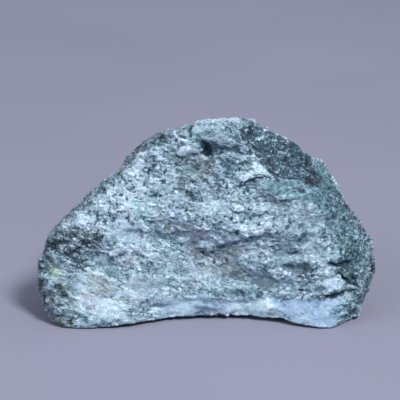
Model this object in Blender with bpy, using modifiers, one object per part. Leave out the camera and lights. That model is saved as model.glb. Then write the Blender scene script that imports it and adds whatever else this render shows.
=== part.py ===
"""Raw larimar: one broken lump of layered blue pectolite under a dark weathered crust.

The stone is worked out in millimetres in its own face frame: X runs along the broken front face,
Y is the depth behind that face and Z is the height up it. It is then leaned back by FACE_LEAN,
set down on its feet, centred over the origin and scaled to metres. The origin is at the floor,
under the middle of the stone.
"""

import math

import bmesh
import bpy
from mathutils import Matrix, Vector, noise

MM = 0.001

# Driving dimensions, in millimetres and degrees.
FACE_LEAN = 15.0  # the broken front face leans back from upright
BACK_DEPTH = 66.0  # from the front face to the furthest point of the back
FACE_CENTRE = Vector((0.0, 40.0))  # middle of the front face: along, up
FRONT_SQUARENESS = 11.0  # a high power keeps the front face flat up to its edge
BACK_SQUARENESS = 3.2  # a low power lets the back round off
BACK_BLEND = 16.0  # the outline changes from the face's to the back's over this depth
BACK_TAPER = 0.95  # the outline of the back against that of the face
BACK_EVENING = range(-24, 25, 4)  # directions over which the back's outline evens out the rim's
BALL_SUBDIVISIONS = 6
WORKING_SPACING = 1.15  # spacing of the surface's points while it is worked
SOLID_TRIANGLES = 9400
TOUCHING = 1e-4  # points this close to the floor count as on it

# Rim of the stone, the widest line seen square to the front face, from the left foot round by the
# crown: along, up, depth. The foot end runs on below the floor, which trims it.
RIM = (
    (-62.0, -9.0, 10.0),
    (-69.0, 1.5, 12.0),
    (-72.5, 11.0, 18.0),
    (-75.2, 21.0, 24.0),
    (-75.0, 27.5, 28.0),
    (-72.6, 35.0, 28.0),
    (-70.0, 42.0, 28.0),
    (-65.5, 46.5, 28.0),
    (-56.5, 54.0, 30.0),
    (-47.5, 62.0, 30.0),
    (-39.5, 68.2, 30.0),
    (-36.0, 72.5, 30.0),
    (-32.5, 78.5, 30.0),
    (-25.5, 83.4, 30.0),
    (-16.5, 87.0, 30.0),
    (-7.5, 89.0, 30.0),
    (-4.0, 91.4, 24.0),
    (4.0, 92.2, 22.0),
    (14.5, 92.4, 24.0),
    (22.3, 91.2, 28.0),
    (27.6, 87.4, 30.0),
    (36.6, 83.2, 30.0),
    (44.0, 78.2, 30.0),
    (46.8, 74.8, 30.0),
    (53.0, 72.8, 30.0),
    (56.4, 67.4, 30.0),
    (59.6, 58.8, 30.0),
    (64.8, 51.8, 30.0),
    (69.6, 46.0, 30.0),
    (74.6, 37.4, 28.0),
    (76.2, 30.5, 26.0),
    (75.8, 24.8, 24.0),
    (73.4, 19.2, 20.0),
    (70.2, 12.0, 16.0),
    (66.0, 4.0, 12.0),
    (61.0, -3.0, 10.0),
    (54.0, -12.0, 10.0),
    (0.0, -16.0, 10.0),
)

# Planes along which the lump broke: a point on the plane, its outward direction, and how far its
# edges are worn round.
BREAKS = {
    "left_crust": ((-51.0, 3.0, 57.0), (-0.62, -0.30, 0.72), 1.0),
    "crown_crust": ((-27.0, 3.0, 81.0), (-0.42, -0.32, 0.85), 1.0),
    "matrix_cap": ((31.0, -0.6, 67.5), (0.40, -0.72, 0.57), 1.2),
    "cap_corner": ((47.0, 8.0, 70.0), (0.72, -0.58, 0.38), 2.0),
    "right_flank": ((54.0, 1.0, 45.0), (0.62, -0.77, 0.12), 4.0),
    "flank_edge": ((68.0, 12.0, 38.0), (0.84, -0.46, 0.28), 2.5),
    "right_undercut": ((66.0, 4.0, 14.0), (0.72, -0.55, -0.42), 2.0),
    "left_end": ((-70.0, 3.0, 32.0), (-0.80, -0.58, 0.12), 2.0),
    "left_undercut": ((-70.5, 4.0, 12.0), (-0.78, -0.60, -0.18), 2.0),
    "left_face": ((-34.0, 0.0, 58.0), (-0.12, -0.97, 0.20), 4.0),
    "back_slab": ((0.0, 62.0, 40.0), (0.10, 0.99, -0.10), 1.5),
    "back_crown": ((-4.0, 46.0, 84.0), (-0.10, 0.58, 0.80), 1.5),
    "crown_right": ((26.0, 40.0, 84.0), (0.45, 0.42, 0.78), 1.5),
    "back_left": ((-50.0, 44.0, 46.0), (-0.62, 0.66, 0.42), 1.5),
    "left_shoulder": ((-60.0, 40.0, 44.0), (-0.78, 0.30, 0.55), 1.5),
    "back_right": ((52.0, 46.0, 48.0), (0.62, 0.70, 0.34), 1.5),
    "right_heel": ((60.0, 46.0, 22.0), (0.66, 0.66, -0.36), 1.5),
    "back_foot": ((6.0, 60.0, 26.0), (0.05, 0.84, -0.54), 2.0),
    "left_heel": ((-58.0, 44.0, 22.0), (-0.62, 0.70, -0.34), 1.5),
}

# Swellings and hollows of the front face: middle (along, up), half sizes, turn in degrees, and how
# far each stands out (+) or goes in (-).
SWELLS = {
    "scoop_between_the_feet": ((4.0, 15.0), (37.0, 25.0), -4.0, -9.0),
    "arch_of_the_scoop": ((5.0, -3.0), (30.0, 11.0), 0.0, -7.0),
    "hollow_under_the_brow": ((-1.0, 36.5), (24.0, 8.0), -8.0, -4.0),
    "left_foot_lobe": ((-50.0, 11.0), (26.0, 14.0), 0.0, 2.5),
    "right_foot_lobe": ((47.5, 6.5), (15.0, 9.0), 0.0, 3.0),
    "upper_left_shoulder": ((-37.0, 57.0), (20.0, 13.0), 38.0, 2.5),
    "tongue_above_the_hollow": ((1.0, 48.0), (13.0, 10.0), -35.0, 2.0),
    "crown_block": ((4.5, 87.0), (13.0, 8.0), 0.0, 3.0),
    "groove_under_the_crown": ((-10.0, 73.0), (14.0, 5.0), -5.0, -2.4),
    "crown_pit": ((-0.7, 77.8), (3.2, 3.8), 0.0, -4.5),
    "crown_slot": ((5.0, 78.6), (4.5, 1.8), -8.0, -2.2),
    "crown_dimple": ((-9.0, 78.5), (4.5, 3.5), 0.0, 1.4),
    "cap_apron": ((34.0, 60.0), (17.0, 5.0), -6.0, 2.0),
    "stain_hollow": ((28.5, 57.2), (5.5, 2.6), -8.0, -1.2),
    "left_furrow": ((-57.0, 33.0), (16.0, 6.5), -28.0, -1.8),
    "left_facet": ((-43.0, 27.0), (8.0, 6.0), -30.0, -0.9),
    "lower_facet": ((20.0, 21.5), (7.5, 3.6), 12.0, -2.0),
    "upper_facet": ((40.0, 25.8), (8.5, 2.8), 0.0, -1.8),
    "pale_boss": ((53.5, 18.8), (5.0, 5.5), 0.0, 1.6),
    "right_cheek": ((38.0, 46.0), (20.0, 9.0), -10.0, 1.6),
}

# Ledges across the front face, where an upper layer overhangs the one beneath: the line of the
# edge (along, up), how far the upper layer stands out, and how far up the face that fades away.
LEDGES = {
    "brow": (
        ((1.0, 32.5), (6.0, 35.5), (10.5, 38.0), (19.0, 39.6), (26.0, 42.0), (33.0, 43.0)),
        2.0,
        9.0,
    ),
    "brow_left": (((-26.0, 44.5), (-17.0, 43.0), (-7.0, 41.5), (1.0, 39.5)), 0.8, 6.0),
    "cap_crack": (
        ((14.5, 61.5), (18.0, 64.0), (22.5, 65.3), (29.5, 65.3), (36.0, 64.4)),
        2.6,
        6.0,
    ),
    "band_edge": (
        ((-15.0, 12.9), (-1.0, 12.4), (14.5, 11.9), (24.0, 14.0), (36.5, 14.2), (43.0, 12.8)),
        1.4,
        5.0,
    ),
    "boss_edge": (((42.0, 12.8), (50.0, 12.8), (55.0, 14.8), (60.0, 16.2), (66.0, 17.0)), 1.9, 6.0),
    "lower_facet_edge": (((14.5, 19.5), (19.7, 23.2), (24.0, 24.9), (28.5, 23.8)), 1.5, 5.0),
    "upper_facet_edge": (((30.0, 28.6), (37.5, 28.4), (47.0, 28.4)), 1.3, 4.0),
    "flank_crack": (((53.0, 29.4), (57.5, 28.2), (64.5, 29.4)), 1.7, 4.0),
    "undercut_crack": (((57.0, 24.6), (63.0, 23.2), (69.5, 20.6)), 1.7, 4.0),
    "crown_edge": (((-7.0, 77.5), (0.0, 80.0), (7.0, 80.2), (15.0, 78.0), (21.0, 77.0)), 1.5, 6.0),
}

LEDGE_LIP = 1.2  # a ledge steps out within this distance
LEDGE_TOE = 2.2  # the layer below a ledge is hollowed out this far down from the edge
LEDGE_HOLLOW = 0.55  # depth of that hollow against the ledge's own height
FACE_LAYER = (4.0, 34.0)  # swells and ledges are full down to the first depth and gone at the second
WANDER = 0.9  # the lines of the swells and ledges stray by this much on the face
WANDER_WITH_DEPTH = 0.2  # and by this much more for each millimetre behind it
WANDER_FREQUENCY = 0.12

# Feet: where the underside swells down to the floor, as (along, back from the front foot), and how
# widely each swells.
FEET = (
    ((-50.0, 8.0), (30.0, 13.0)),
    ((51.0, 8.0), (15.0, 12.0)),
    ((-26.0, 48.0), (20.0, 14.0)),
    ((30.0, 46.0), (18.0, 15.0)),
)
FOOT_LINE = 1.0  # below this height up the face, its swells and ledges run straight on down
FOOT_REACH = 0.3  # how far the feet would pass the floor, which cuts them off flat
FOOT_GAP = 1.3  # how far the underside stands off the floor between the feet
UNDERSIDE_BUMPS = ((1.8, 0.07), (0.5, 0.2))  # height and frequency
UNDERSIDE_RISE = (1.6, 12.0, 26.0)  # it rises by this height between these distances back
UNDERSIDE_EDGE = 0.6  # roundness of the edge between the sides and the underside

LAYER_THICKNESS = 7.5
LAYER_DIP = 0.12  # the layers fall this much to the right
LAYER_STEP = 0.7  # how far each layer stands out at its lower edge
LAYER_LIP = 0.18  # share of a layer's thickness over which it steps out
LAYER_MIDDLE = 0.45  # mean of a layer's own profile, taken off so that layers add no bulk
LAYER_WAVES = ((2.4, 0.045), (1.2, 0.12))  # height and frequency of the waves in the layers
LAYER_PATCHES = (0.06, -0.25, 0.35)  # frequency of the patches with layers, and how they fade in
PATCH_PLACE = Vector((7.0, 3.0, 1.0))

FACETS = (  # size of the broken facets, how far apart their levels lie, and how steeply they tilt
    (26.0, 3.2, 6.8),
    (12.0, 2.0, 4.4),
    (5.5, 1.0, 2.0),
)
FACET_STRETCH = 1.5  # facets are this much longer along the layers than across them
FACET_EDGE = 9.0  # a high value makes the facets meet in sharp steps
FACET_WANDER = (0.3, 1.4)  # how far their edges stray, in facets, and how often
FACET_TURN_PLACE = Vector((9.0, 0.0, 0.0))
HALF = Vector((0.5, 0.5, 0.5))
RIM_STEADINESS = 0.25  # share of the roughness that is let change the outline of the face
BACK_ROUGHNESS = 1.5  # the back is this much rougher than the face
BACK_STARTS = (32.0, 50.0)  # the roughness changes from the face's to the back's between these

SURFACE_COLOUR = (0.43, 0.56, 0.60, 1.0)
SURFACE_ROUGHNESS = 0.6


def smooth(low, high, value):
    """0 below low, 1 above high, and an even curve between them."""
    share = min(1.0, max(0.0, (value - low) / (high - low)))
    return share * share * (3.0 - 2.0 * share)


def clear_scene():
    for obj in list(bpy.data.objects):
        bpy.data.objects.remove(obj, do_unlink=True)


def rim_polar():
    """The rim as (angle, distance from the face's centre, depth), in order of angle."""
    rows = []
    for along, up, depth in RIM:
        spoke = Vector((along, up)) - FACE_CENTRE
        rows.append((math.atan2(spoke.y, spoke.x), spoke.length, depth))
    return sorted(rows)


def rim_at(angle, polar):
    """Distance and depth of the rim in one direction of the face, between its two nearest points."""
    angle = math.remainder(angle, math.tau)
    after = next((i for i, row in enumerate(polar) if row[0] > angle), 0)
    low, high = polar[after - 1], polar[after]
    share = ((angle - low[0]) % math.tau) / ((high[0] - low[0]) % math.tau)
    return Vector(low[1:]).lerp(Vector(high[1:]), share)


def rounded_rim_at(angle, polar):
    """Distance of the rim in one direction with its corners evened out, for the back."""
    near = [rim_at(angle + math.radians(turn), polar)[0] for turn in BACK_EVENING]
    return sum(near) / len(near)


def block_point(direction, polar):
    """Where a point of a unit ball goes on the plain block: flat in front, rounder behind."""
    across = math.hypot(direction.x, direction.z)
    angle = math.atan2(direction.z, direction.x)
    radius, rim_depth = rim_at(angle, polar)
    power = FRONT_SQUARENESS if direction.y < 0 else BACK_SQUARENESS
    grow = (across**power + abs(direction.y) ** power) ** (-1.0 / power)
    room = rim_depth if direction.y < 0 else BACK_DEPTH - rim_depth
    depth = rim_depth + direction.y * grow * room
    behind = smooth(rim_depth, rim_depth + BACK_BLEND, depth)
    radius += (rounded_rim_at(angle, polar) * BACK_TAPER - radius) * behind
    along = FACE_CENTRE.x + direction.x * grow * radius
    up = FACE_CENTRE.y + direction.z * grow * radius
    return Vector((along, depth, up))


def broken_off(point):
    """The point pushed back to every break plane that it stands beyond."""
    for on_plane, outward, worn in BREAKS.values():
        normal = Vector(outward).normalized()
        beyond = (point - Vector(on_plane)).dot(normal)
        point = point - normal * 0.5 * (beyond + math.hypot(beyond, worn))
    return point


def swell_height(along, up):
    """Sum of the swellings and hollows of the front face at one place on it."""
    total = 0.0
    for middle, half, turn, height in SWELLS.values():
        spot = Matrix.Rotation(math.radians(-turn), 2) @ (Vector((along, up)) - Vector(middle))
        total += height * math.exp(-((spot.x / half[0]) ** 2 + (spot.y / half[1]) ** 2) ** 1.5)
    return total


def line_offset(along, up, line):
    """Nearest distance to a line from left to right, positive above it, and how central it is."""
    spot = Vector((along, up))
    best = (1e9, 0.0)
    length = sum((Vector(b) - Vector(a)).length for a, b in zip(line, line[1:]))
    before = 0.0
    for a, b in zip(line, line[1:]):
        start, run = Vector(a), Vector(b) - Vector(a)
        share = (spot - start).dot(run) / run.length_squared
        nearest = start + run * min(1.0, max(0.0, share))
        gap = (spot - nearest).length
        if gap < abs(best[0]):
            side = 1.0 if run.cross(spot - start) >= 0 else -1.0
            travelled = (before + run.length * share) / length
            best = (side * gap, travelled)
        before += run.length
    ends = smooth(-0.05, 0.15, best[1]) * smooth(1.05, 0.85, best[1])
    return best[0], ends


def ledge_height(along, up):
    """How far the ledges make the front face stand out at one place."""
    total = 0.0
    for line, rise, fade in LEDGES.values():
        gap, ends = line_offset(along, up, line)
        above = math.exp(-max(0.0, gap) / fade) * smooth(-LEDGE_LIP / 2, LEDGE_LIP / 2, gap)
        below = math.exp(-((gap / LEDGE_TOE) ** 2)) * smooth(0.0, -LEDGE_LIP, gap)
        total += rise * (above - LEDGE_HOLLOW * below) * ends
    return total


def layer_height(point):
    """Layers that wrap the whole stone: each stands out most along its lower edge."""
    wave = sum(height * noise.noise(point * frequency) for height, frequency in LAYER_WAVES)
    up_the_layer = (point.z + LAYER_DIP * point.x + wave) / LAYER_THICKNESS % 1.0
    frequency, absent, full = LAYER_PATCHES
    strength = smooth(absent, full, noise.noise(point * frequency + PATCH_PLACE))
    profile = (1.0 - up_the_layer) * smooth(0.0, LAYER_LIP, up_the_layer)
    return LAYER_STEP * strength * (profile - LAYER_MIDDLE)


def facet_height(point, size, levels, tilts):
    """Broken facets of one size: each has its own level and tilt, and they meet in soft steps."""
    along_layers = Vector((point.x / FACET_STRETCH, point.y, point.z + LAYER_DIP * point.x))
    spot = along_layers / size + Vector((size, 0.0, 2.0 * size))
    spot += FACET_WANDER[0] * noise.noise_vector(spot * FACET_WANDER[1])
    distances, middles = noise.voronoi(spot)
    total, weights = 0.0, 0.0
    for distance, middle in zip(distances, middles):
        weight = math.exp(FACET_EDGE * (distances[0] - distance))
        level = levels * (noise.cell_vector(middle) - HALF).x
        tilt = tilts * (noise.cell_vector(middle + FACET_TURN_PLACE) - HALF)
        total += weight * (level + tilt.dot(spot - middle))
        weights += weight
    return total / weights


def worked(point, normal):
    """A point of the block moved by everything that shapes the stone's surface."""
    roughness = layer_height(point) + sum(facet_height(point, *facets) for facets in FACETS)
    steady = RIM_STEADINESS + (BACK_ROUGHNESS - RIM_STEADINESS) * smooth(*BACK_STARTS, point.y)
    shift = roughness * Vector((normal.x * steady, normal.y * max(1.0, steady), normal.z * steady))
    stray = WANDER + WANDER_WITH_DEPTH * max(0.0, point.y)
    wander = stray * noise.noise_vector(point * WANDER_FREQUENCY)
    along, up = point.x + wander.x, max(point.z + wander.z, FOOT_LINE)
    near_front = 1.0 - smooth(*FACE_LAYER, point.y)
    shift.y -= near_front * (swell_height(along, up) + ledge_height(along, up))
    return point + shift


def underside(along, back):
    """Height of the underside over the floor, which dips below it at each foot."""
    spot = Vector((along, back, 0.0))
    rise, rise_start, rise_end = UNDERSIDE_RISE
    height = FOOT_GAP + rise * smooth(rise_start, rise_end, back)
    height += sum(size * abs(noise.noise(spot * often)) for size, often in UNDERSIDE_BUMPS)
    for middle, spread in FEET:
        x, y = (along - middle[0]) / spread[0], (back - middle[1]) / spread[1]
        height -= (height + FOOT_REACH) * math.exp(-(x * x + y * y))
    return height


def settled(point):
    """The leaned-back point slid up the face to the underside, so that only feet reach the floor."""
    up_the_face = Matrix.Rotation(math.radians(-FACE_LEAN), 3, "X") @ Vector((0.0, 0.0, 1.0))
    sole = underside(point.x, point.y + max(0.0, -point.z) * up_the_face.y)
    short = sole - point.z
    lift = 0.5 * (short + math.hypot(short, UNDERSIDE_EDGE)) / up_the_face.z
    return point + up_the_face * lift


def apply_modifiers(obj):
    """Bakes an object's modifiers into its mesh."""
    graph = bpy.context.evaluated_depsgraph_get()
    made = bpy.data.meshes.new_from_object(obj.evaluated_get(graph), depsgraph=graph)
    obj.modifiers.clear()
    old, obj.data = obj.data, made
    bpy.data.meshes.remove(old)


def plain_block():
    """The lump before it is worked: a ball drawn out to the rim and broken along its planes."""
    polar = rim_polar()
    bm = bmesh.new()
    bmesh.ops.create_icosphere(bm, subdivisions=BALL_SUBDIVISIONS, radius=1.0)
    for vertex in bm.verts:
        vertex.co = broken_off(block_point(vertex.co.copy(), polar))
    mesh = bpy.data.meshes.new("larimar_stone")
    bm.to_mesh(mesh)
    bm.free()
    return bpy.data.objects.new("larimar_stone", mesh)


def even_out(stone):
    """Remeshes the block with even faces, which its relief needs."""
    remesh = stone.modifiers.new("even_faces", "REMESH")
    remesh.mode = "VOXEL"
    remesh.voxel_size = WORKING_SPACING
    apply_modifiers(stone)


def work_surface(stone):
    """Works the relief into the block, leans it back and settles it onto its feet."""
    lean = Matrix.Rotation(math.radians(-FACE_LEAN), 3, "X")
    moved = [lean @ worked(v.co.copy(), v.normal.copy()) for v in stone.data.vertices]
    for vertex, place in zip(stone.data.vertices, moved):
        vertex.co = settled(place)
    stone.data.update()


def thin_out(stone):
    """Thins the faces where the surface is plain and keeps them at its edges."""
    triangles = sum(len(face.vertices) - 2 for face in stone.data.polygons)
    thin = stone.modifiers.new("fewer_faces", "DECIMATE")
    thin.ratio = SOLID_TRIANGLES / triangles
    thin.use_collapse_triangulate = True
    apply_modifiers(stone)


def trim_feet(stone):
    """Cuts the feet off flat at the floor and closes each cut."""
    bm = bmesh.new()
    bm.from_mesh(stone.data)
    everything = bm.verts[:] + bm.edges[:] + bm.faces[:]
    bmesh.ops.bisect_plane(
        bm, geom=everything, dist=TOUCHING, plane_co=(0, 0, 0), plane_no=(0, 0, -1), clear_outer=True
    )
    rims = [edge for edge in bm.edges if edge.is_boundary]
    bmesh.ops.holes_fill(bm, edges=rims, sides=0)
    bmesh.ops.triangulate(bm, faces=bm.faces[:])
    bmesh.ops.recalc_face_normals(bm, faces=bm.faces[:])
    bm.to_mesh(stone.data)
    bm.free()


def centre_and_scale(stone):
    """Puts the middle of the base at the origin and turns millimetres into metres."""
    places = [vertex.co for vertex in stone.data.vertices]
    middle = [(min(p[i] for p in places) + max(p[i] for p in places)) / 2 for i in (0, 1)]
    stone.data.transform(Matrix.Scale(MM, 4) @ Matrix.Translation((-middle[0], -middle[1], 0.0)))


def stone_material():
    material = bpy.data.materials.new("weathered_pectolite")
    material.use_nodes = True
    shader = material.node_tree.nodes["Principled BSDF"]
    shader.inputs["Base Color"].default_value = SURFACE_COLOUR
    shader.inputs["Roughness"].default_value = SURFACE_ROUGHNESS
    shader.inputs["Metallic"].default_value = 0.0
    return material


def build():
    clear_scene()
    collection = bpy.data.collections.new("raw_larimar")
    bpy.context.scene.collection.children.link(collection)
    stone = plain_block()
    collection.objects.link(stone)
    even_out(stone)
    work_surface(stone)
    thin_out(stone)
    trim_feet(stone)
    centre_and_scale(stone)
    stone.data.materials.append(stone_material())


build()
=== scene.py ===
"""Raw larimar: the fine broken surface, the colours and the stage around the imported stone."""

import math

import bmesh
import bpy
import numpy as np
from bpy.props import FloatProperty, FloatVectorProperty, PointerProperty
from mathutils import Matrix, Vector, noise


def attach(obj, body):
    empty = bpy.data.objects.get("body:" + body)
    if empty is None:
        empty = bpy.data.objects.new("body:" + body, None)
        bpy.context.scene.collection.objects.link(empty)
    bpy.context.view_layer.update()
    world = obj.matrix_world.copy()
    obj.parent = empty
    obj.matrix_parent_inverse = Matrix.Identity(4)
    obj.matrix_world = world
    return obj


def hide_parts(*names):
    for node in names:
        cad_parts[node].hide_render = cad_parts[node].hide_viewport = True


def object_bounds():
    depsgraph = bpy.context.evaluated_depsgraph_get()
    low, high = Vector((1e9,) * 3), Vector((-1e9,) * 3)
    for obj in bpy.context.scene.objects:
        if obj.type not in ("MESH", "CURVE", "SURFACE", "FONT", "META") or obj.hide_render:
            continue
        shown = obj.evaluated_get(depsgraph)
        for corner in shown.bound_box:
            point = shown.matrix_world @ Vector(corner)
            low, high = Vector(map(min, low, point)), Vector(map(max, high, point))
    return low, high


bl_info = {
    "name": "Raw Larimar",
    "version": (1, 0, 0),
    "blender": (4, 5, 0),
    "location": "View3D > Sidebar > Larimar",
    "description": "Breaks and colours the surface of a rough larimar stone, and sets its stage",
    "category": "Object",
}

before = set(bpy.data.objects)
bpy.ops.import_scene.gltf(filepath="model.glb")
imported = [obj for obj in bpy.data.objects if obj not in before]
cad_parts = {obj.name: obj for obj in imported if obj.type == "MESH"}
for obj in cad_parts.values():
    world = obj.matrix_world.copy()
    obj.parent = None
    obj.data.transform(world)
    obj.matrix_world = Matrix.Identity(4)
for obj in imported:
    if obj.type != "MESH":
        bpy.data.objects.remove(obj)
CAD_BOX = [list(corner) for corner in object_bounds()]

MM = 0.001
NODE = "larimar_stone"

# The face frame, in millimetres: X along the broken front face, Y the depth behind it, Z up it.
FACE_LEAN = 15.0  # degrees that the front face leans back
FACE_FOOT = 39.1  # how far the foot of the front face stands in front of the origin

MERGED = 1e-6  # metres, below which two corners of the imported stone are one
EASING = (0.5, 2)  # how strongly, and how often, the flat triangles are eased away
MOST_TRIANGLES = 192000  # of the finished surface
SEED = 7  # of the noise that strays and wanders, which is else seeded by the clock

# Broken chips of the surface: size, depth, and -1 for scoops that meet in sharp ridges or 1 for
# grains with gaps between them.
CHIPS = ((6.5, 1.7, -1), (3.1, 0.85, -1), (1.6, 0.4, 1))
CHIP_STRETCH = 1.7  # chips are this much longer along the layers than across them
CHIP_LEVEL = 0.7  # how far apart the levels of neighbouring chips lie, in depths
CHIP_TILT = 2.0  # how steeply they tilt
CHIP_ROUND = 0.8  # how hollow or domed they are
CHIP_MIDDLE = 0.1  # the mean height of a chip
CHIP_WANDER = (0.3, 1.5)  # how far their edges stray, in chips, and how often
TURN_PLACE = Vector((9.0, 0.0, 0.0))  # so far off, the noise gives a number of its own
HALF = Vector((0.5, 0.5, 0.5))

# Thin layers that end in ragged lips: spacing across them, length along them, how far they step.
LAYER_SPACING = 2.3
LAYER_LENGTH = 10.0
LAYER_RELIEF = 0.9
LAYER_WAVES = ((1.4, 0.7), (0.5, 2.0))  # height, in layers, and frequency
LAYER_ENDS = 0.9  # how often a layer thins out to nothing
LIP_RISE = 0.25  # the share of a layer in which its lip rises
LIP_MIDDLE = 0.4  # the mean height of a lip
GRAIN_SIZE = 1.15
GRAIN_RELIEF = 0.16

# How much of the fine relief is missing where the stone is smooth, crusted or dark matrix.
SMOOTH_EVENNESS = 0.85
CRUST_EVENNESS = 0.55
MATRIX_EVENNESS = 0.5  # of the thin layers alone
FLOOR_FADE = (0.1, 2.5)  # the relief starts at these heights over the floor

# The crust starts where the surface turns this far from the front, and its edge strays.
CRUST_TURN = (-0.02, 0.38)
CRUST_STRAY = 0.06
# Where the crust is worn off: size of the places, noise from none to all, share and paleness.
WORN_SIZE = 15.0
WORN_SHARE = (0.12, 0.6)
WORN_AWAY = 0.6
WORN_PALER = 0.04
STAIN_SIZE = 22.0  # olive and teal stains of the crust
STAIN_SHARE = (0.1, 0.45)
# The painted shade of a crack grows with its depth.
FULLY_DARK_CUT = 0.6  # a crack at least this deep is as dark as a crack gets
CRACK_DEPTH = (9.0, 16.0)  # the cracks of the face end over these depths
CRACK_WANDER = (0.5, 0.5)  # how far the cracks stray, and how often

# Hollows are told apart by how the relief changes as it is averaged over ever more neighbours.
EVENED_ROUNDS = (1, 4, 16)
FINE_HOLLOW = 0.25  # millimetres that count as fully hollow, from the first to the second
BROAD_HOLLOW = 0.5  # and from the second to the third
MOST_HOLLOW = 1.2

LEFT_DIP = 0.22  # the layers fall this much to the right over the left half of the face
RIGHT_DIP = -0.04
DIP_CHANGE = (-5.0, 35.0)  # between these places along the face

# How the edges of the coloured patches stray: distance and frequency.
PATCH_STRAY = ((1.6, 0.16), (1.1, 0.55))
SPOT_EDGE = (0.55, 1.2)  # where a spot starts to fade and where it ends, in half sizes
STRIP_EDGE = (0.5, 1.3)  # the same for a strip, in half widths
# The patches of the face fade out over these depths, and the crust of the back starts over these.
PATCH_DEPTH = (9.0, 15.0)
STRIP_DEPTH = (18.0, 26.0)
CRUST_DEPTH = (14.0, 26.0)
# Between these two places along the face, all three grow by the third, as the face turns away.
DEEPER_RIGHT = (10.0, 60.0, 11.0)

# Places of the face are read off the photograph, so the tables from here to the cracks hold them
# in its pixels, from its upper left corner. A pixel shows this many millimetres of the face, and
# the face frame starts at this pixel.
PIXEL = 0.4425
START_PIXEL = (207.5, 327.0)

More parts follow.
